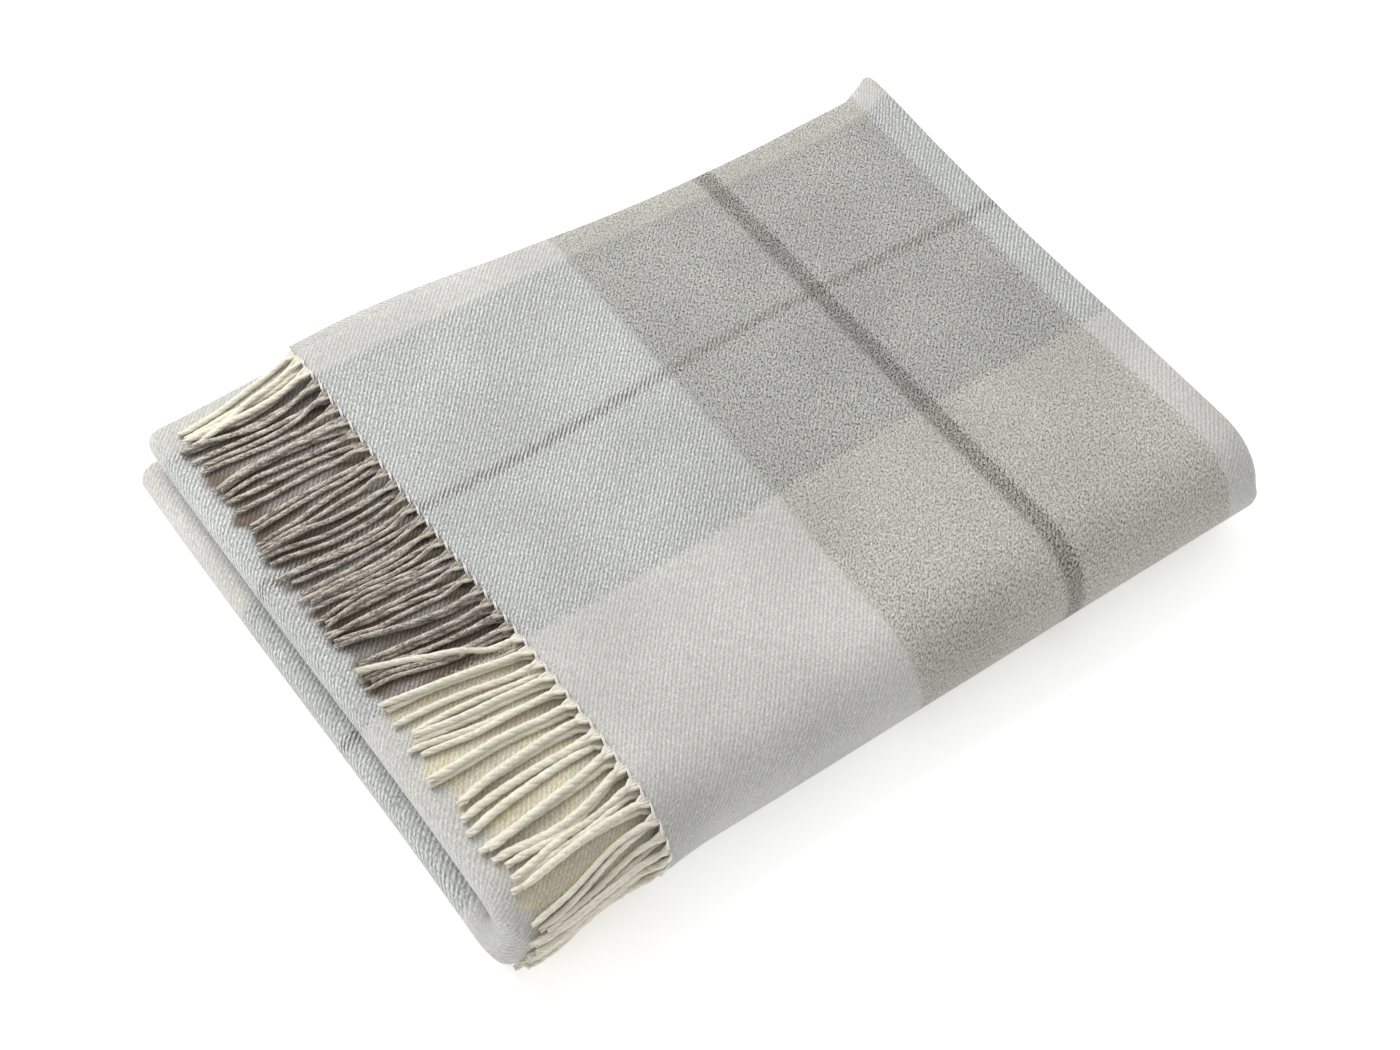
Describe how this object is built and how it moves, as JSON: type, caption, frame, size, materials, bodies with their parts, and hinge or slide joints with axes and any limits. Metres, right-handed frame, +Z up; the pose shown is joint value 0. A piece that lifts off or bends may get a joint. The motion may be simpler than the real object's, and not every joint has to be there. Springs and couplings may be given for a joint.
{
  "type": "folded throw blanket",
  "caption": "Soft checked wool throw with twisted tassels, folded into a neat rectangular block with its fringe along one end.",
  "frame": {"origin": "middle of the underside of the folded block, on the surface that it rests on", "axes": "+X along the passes, from the fringe to the right-hand folds; +Y from the folded front edge to the far edges; +Z up"},
  "size_m": [0.4228, 0.32, 0.061],
  "materials": {
    "wool_cloth": "brushed wool twill in a large check of white, cream and taupe",
    "taupe_fringe": "twisted wool yarn, taupe",
    "cream_fringe": "twisted wool yarn, cream",
    "hem_thread": "fine white wool thread"
  },
  "bodies": {
    "root": {"throw_cloth": "wool_cloth", "tassel_01": "cream_fringe", "tassel_02": "cream_fringe", "tassel_03": "taupe_fringe", "tassel_04": "taupe_fringe", "tassel_05": "taupe_fringe", "tassel_06": "taupe_fringe", "tassel_07": "taupe_fringe", "tassel_08": "taupe_fringe", "tassel_09": "taupe_fringe", "tassel_10": "taupe_fringe", "tassel_11": "taupe_fringe", "tassel_12": "taupe_fringe", "tassel_13": "taupe_fringe", "tassel_14": "taupe_fringe", "tassel_15": "taupe_fringe", "tassel_16": "taupe_fringe", "tassel_17": "taupe_fringe", "tassel_18": "taupe_fringe", "tassel_19": "taupe_fringe", "tassel_20": "taupe_fringe", "tassel_21": "taupe_fringe", "tassel_22": "taupe_fringe", "tassel_23": "taupe_fringe", "tassel_24": "taupe_fringe", "tassel_25": "cream_fringe", "tassel_26": "cream_fringe", "tassel_27": "cream_fringe", "tassel_28": "cream_fringe", "tassel_29": "cream_fringe", "tassel_30": "cream_fringe", "tassel_31": "cream_fringe", "tassel_32": "cream_fringe", "tassel_33": "cream_fringe", "tassel_34": "cream_fringe", "tassel_35": "cream_fringe", "tassel_36": "cream_fringe", "tassel_37": "cream_fringe", "tassel_38": "cream_fringe", "tassel_39": "cream_fringe", "tassel_40": "cream_fringe", "tassel_41": "cream_fringe", "tassel_42": "cream_fringe", "tassel_43": "cream_fringe", "second_layer_fringe": "taupe_fringe", "underside_fringe": "taupe_fringe", "inner_fringe": "taupe_fringe", "outer_hemstitch": "hem_thread", "inner_hemstitch": "hem_thread"}
  },
  "joints": []
}
